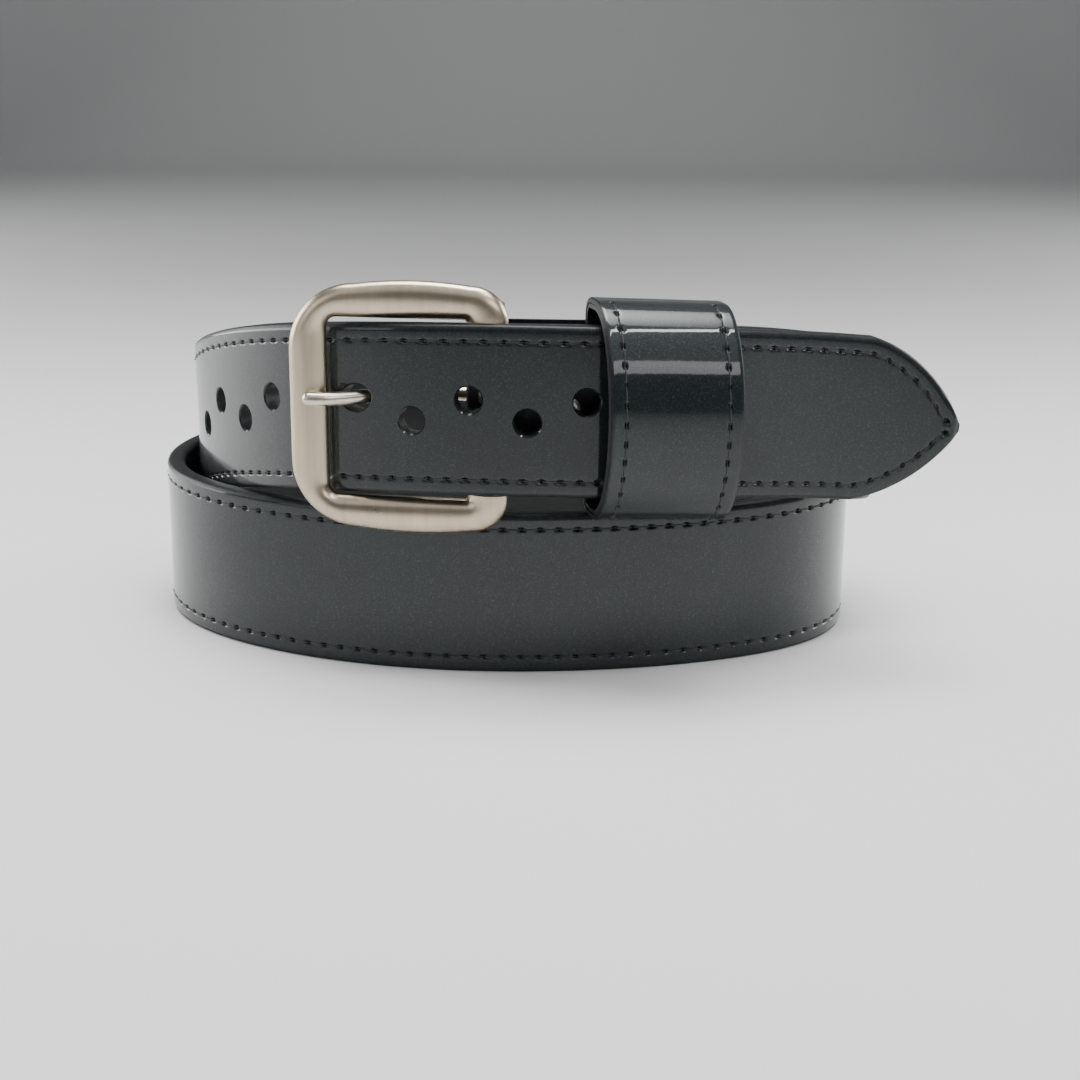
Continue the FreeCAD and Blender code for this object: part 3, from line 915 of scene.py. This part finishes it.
def prong_sections():
    """Rings along the prong's shank, closed by a round end."""
    line = prong_line()
    tip = line[-1]
    run = (line[-1] - line[-2]).normalized()
    radius = [PRONG_RADIUS] * len(line)
    for k in range(1, 8):
        angle = math.pi / 2 * k / 8
        line.append(tip + run * (PRONG_RADIUS * math.sin(angle)))
        radius.append(PRONG_RADIUS * math.cos(angle))
    return round_bar(line, radius)


def prong_eye_sections():
    """The band of the prong round the heel bar."""
    rings = []
    half = PRONG_RADIUS
    inside = HEEL_BAR_RADIUS + PRONG_EYE_CLEARANCE
    profile = [(inside, -half + 0.2), (inside + 0.2, -half), (PRONG_EYE_RADIUS - 0.5, -half),
               (PRONG_EYE_RADIUS, -half + 0.5), (PRONG_EYE_RADIUS, half - 0.5),
               (PRONG_EYE_RADIUS - 0.5, half), (inside + 0.2, half), (inside, half - 0.2)]
    for k in range(40):
        a = 2 * math.pi * k / 40
        rings.append([buckle_point(r * math.cos(a), r * math.sin(a), PRONG_HEIGHT + z) for r, z in profile])
    return rings


# ------------------------------------------------------------------ rivets

def lathe(s, profile, facing):
    """A turned piece on a pin through the strap at s; profile is (n, radius)."""
    point, along, out, up = station(s)
    rings = []
    for n, r in profile:
        rings.append([point + out * (n * facing) + (along * math.cos(a) + up * math.sin(a)) * r
                      for a in (2 * math.pi * k / 32 for k in range(32))])
    return rings


def cap_profile(base):
    """A low dome on a rivet's end."""
    return [(base, 3.7), (base + 0.08, 3.95), (base + 0.16, 4.0), (base + 0.28, 3.8),
            (base + 0.4, 3.0), (base + 0.47, 1.8), (base + 0.5, 0.5)]


# ------------------------------------------------------------------- scene

CAMERA_PLACE = (-1.0, -440.5, 143.2)
CAMERA_DOWN = 15.62                 # degrees
CAMERA_ROLL = 0.457
LENS = 60.44


def build_strap(leather, paint, lining, thread):
    """Face leather, lining and the two rows of stitches."""
    slots = [leather, paint, lining]
    places = face_places()
    points, faces, indices = skin(face_sections(places), False, strap_material(places))
    face = new_piece("strap_face_leather", points, faces, slots, indices)
    cut(face, hole_cutter(slots))
    cut(face, slot_cutter(slots))
    points, faces, indices = skin(lining_sections(), False, strap_material([]))
    back = new_piece("strap_lining_leather", points, faces, [lining, paint, lining], indices)
    cut(back, hole_cutter([lining, paint, lining]))
    cut(back, slot_cutter([lining, paint, lining]))
    finish_piece(face, "strap_face", "strap", 32)
    finish_piece(back, "strap_lining", "strap", 32)
    end = seam_length(SEAM_END)
    for side, name in ((1, "top"), (-1, "bottom")):
        parts = seam_tubes(side, True, 0, end) + seam_tubes(side, False, 0, end - 2 * STITCH)
        points, faces, indices = join_skins(parts)
        seam = new_piece("strap_stitches_" + name, points, faces, [thread])
        finish_piece(seam, "strap_thread_" + name, "strap", 60)


def build_keeper(leather, paint, lining, thread, wire):
    """The keeper's two layers, its stitches and its staple."""
    sections = keeper_layer(KEEPER_LINING, KEEPER_SHELL, True)
    points, faces, indices = skin(sections, True, keeper_material())
    shell = new_piece("keeper_outer_leather", points, faces, [leather, paint, lining], indices)
    points, faces, indices = skin(keeper_layer(0.0, KEEPER_LINING, False), True)
    inside = new_piece("keeper_inner_leather", points, faces, [lining])
    points, faces, indices = join_skins(keeper_seam_tubes())
    seams = new_piece("keeper_stitches", points, faces, [thread])
    rear = KEEPER_BACK - KEEPER_THICK - STAPLE_STAND
    half = STAPLE_LENGTH / 2
    crown = []
    for d in (-half, 0.2 - half, -3, 0, 3, half - 0.2, half):
        bend = STAPLE_BEND if abs(d) == half else 0.0
        crown.append(keeper_point(KEEPER_MIDDLE + d, rear - KEEPER_SKEW * d + bend, 0))
    points, faces, indices = skin(round_bar(crown, STAPLE_RADIUS, 10))
    staple = new_piece("keeper_staple_wire", points, faces, [wire])
    finish_piece(shell, "keeper_shell", "keeper", 32)
    finish_piece(inside, "keeper_lining", "keeper", 32)
    finish_piece(seams, "keeper_thread", "keeper", 32)
    finish_piece(staple, "keeper_staple", "keeper", 32)


def build_buckle(metal, prong_metal):
    """The frame with its heel bar, and the prong."""
    low = BUCKLE_BOTTOM + BAR_WIDTH - ARM_HEIGHT
    high = BUCKLE_TOP - BAR_WIDTH
    bar = [buckle_point(0, 0, z) for z in (low + 1, high + ARM_HEIGHT - 1)]
    parts = [(frame_sections(), False, None), (arm_sections(low), False, None),
             (arm_sections(high), False, None), (round_bar(bar, HEEL_BAR_RADIUS, 32), False, None)]
    points, faces, indices = join_skins(parts)
    buckle = new_piece("buckle_nickel_frame", points, faces, [metal])
    finish_piece(buckle, "buckle_frame", "buckle", 45)
    parts = [(prong_sections(), False, None), (prong_eye_sections(), True, None)]
    points, faces, indices = join_skins(parts)
    prong = new_piece("buckle_nickel_prong", points, faces, [prong_metal])
    finish_piece(prong, "buckle_prong", "prong", 60)


def build_rivets(metal):
    """Caps, posts and back caps of the two rivets."""
    rear = FLAP_GAP + LAYER + RIVET_BACK_SEAT
    groups = {"rivet_caps": [], "rivet_posts": [], "rivet_back_caps": []}
    for d in RIVET_DISTANCES:
        s = STRAP_LENGTH - d
        groups["rivet_caps"].append((lathe(s, cap_profile(LAYER), 1), False, None))
        post = [(-rear, RIVET_POST_RADIUS - 0.05), (-rear + 0.2, RIVET_POST_RADIUS),
                (LAYER, RIVET_POST_RADIUS)]
        groups["rivet_posts"].append((lathe(s, post, 1), False, None))
        groups["rivet_back_caps"].append((lathe(s, cap_profile(rear), -1), False, None))
    for name, parts in groups.items():
        points, faces, indices = join_skins(parts)
        piece = new_piece(name + "_finished", points, faces, [metal])
        finish_piece(piece, name, "strap", 50)


def finish_piece(piece, node_name, body, sharp):
    """Faces turned outwards, shading broken at sharp edges, and the piece tied to its CAD node."""
    work = bmesh.new()
    work.from_mesh(piece.data)
    bmesh.ops.recalc_face_normals(work, faces=work.faces)
    work.to_mesh(piece.data)
    work.free()
    piece.data.set_sharp_from_angle(angle=math.radians(sharp))
    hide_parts(node_name)
    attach(piece, body)


def build_camera():
    """The camera, at the photograph's angle."""
    data = bpy.data.cameras.new("camera")
    data.lens = LENS
    data.sensor_width = 36.0
    data.clip_start = 0.01
    camera = bpy.data.objects.new("camera", data)
    tilt = Matrix.Rotation(math.radians(90 - CAMERA_DOWN), 4, "X")
    roll = Matrix.Rotation(math.radians(CAMERA_ROLL), 4, "Z")
    camera.matrix_world = Matrix.Translation(Vector(CAMERA_PLACE) * MM) @ tilt @ roll
    bpy.context.scene.collection.objects.link(camera)
    bpy.context.scene.camera = camera


def area_light(name, place, size, power, spread=180):
    """A soft panel in metres and watts, turned to the belt, its beam narrowed to a spread in degrees."""
    data = bpy.data.lights.new(name, "AREA")
    data.shape = "RECTANGLE"
    data.size, data.size_y = size
    data.energy = power
    data.spread = math.radians(spread)
    light = bpy.data.objects.new(name, data)
    light.location = place
    aim = Vector((0, 0, 0.05)) - light.location
    light.rotation_euler = aim.to_track_quat("-Z", "Y").to_euler()
    bpy.context.scene.collection.objects.link(light)


def build_stage():
    """A floor that sweeps up behind the belt, a dim world and soft panels."""
    made, nodes, links, shader = material("pale_floor")
    shader.inputs["Base Color"].default_value = (0.66, 0.66, 0.655, 1)
    shader.inputs["Roughness"].default_value = 0.7
    reach, rear, bend, wall = 4000, 1500, 600, 3000
    sweep = [(-reach, 0)] + [(rear + bend * math.sin(a), bend * (1 - math.cos(a)))
                             for a in steps(0, math.pi / 2, 0.1)] + [(rear + bend, wall)]
    points = [(x, y, z) for y, z in sweep for x in (-reach, reach)]
    faces = [(i, i + 1, i + 3, i + 2) for i in range(0, len(points) - 2, 2)]
    floor = new_piece("floor", points, faces, [made])
    world = bpy.data.worlds.new("studio")
    world.use_nodes = True
    world.node_tree.nodes["Background"].inputs["Color"].default_value = (0.90, 0.95, 1.0, 1)
    world.node_tree.nodes["Background"].inputs["Strength"].default_value = 0.12
    bpy.context.scene.world = world
    area_light("left_rear_panel", (-1.0, 0.35, 0.32), (1.0, 0.6), 13)
    area_light("right_rear_panel", (1.0, 0.35, 0.32), (1.0, 0.6), 13)
    area_light("left_front_panel", (-0.95, -0.75, 0.42), (0.5, 0.6), 1.5)
    area_light("top_panel", (0, 0.12, 1.0), (1.3, 0.6), 5.2, 60)
    area_light("high_front_panel", (0, -0.80, 1.05), (1.8, 0.9), 3.5)
    area_light("high_front_strip", (0.36, -0.34, 0.96), (0.45, 0.05), 2.2)
    area_light("low_front_strip", (0.48, -0.82, 0.55), (0.6, 0.18), 1.6)


patent = patent_leather("pearl_patent_leather")
paint = edge_paint("edge_paint")
lining = lining_leather("lining_leather")
thread = sewing_thread("sewing_thread")
nickel = satin_nickel("satin_nickel", (1, 1, 0.06))
prong_nickel = satin_nickel("prong_nickel", (0.06, 1, 1), (0.68, 0.61, 0.51), 0.28)
rivet_nickel = satin_nickel("rivet_nickel", (1, 1, 1), (0.80, 0.76, 0.70), 0.25)

build_camera()
build_stage()
build_strap(patent, paint, lining, thread)
build_keeper(patent, paint, lining, thread, rivet_nickel)
build_buckle(nickel, prong_nickel)
build_rivets(rivet_nickel)
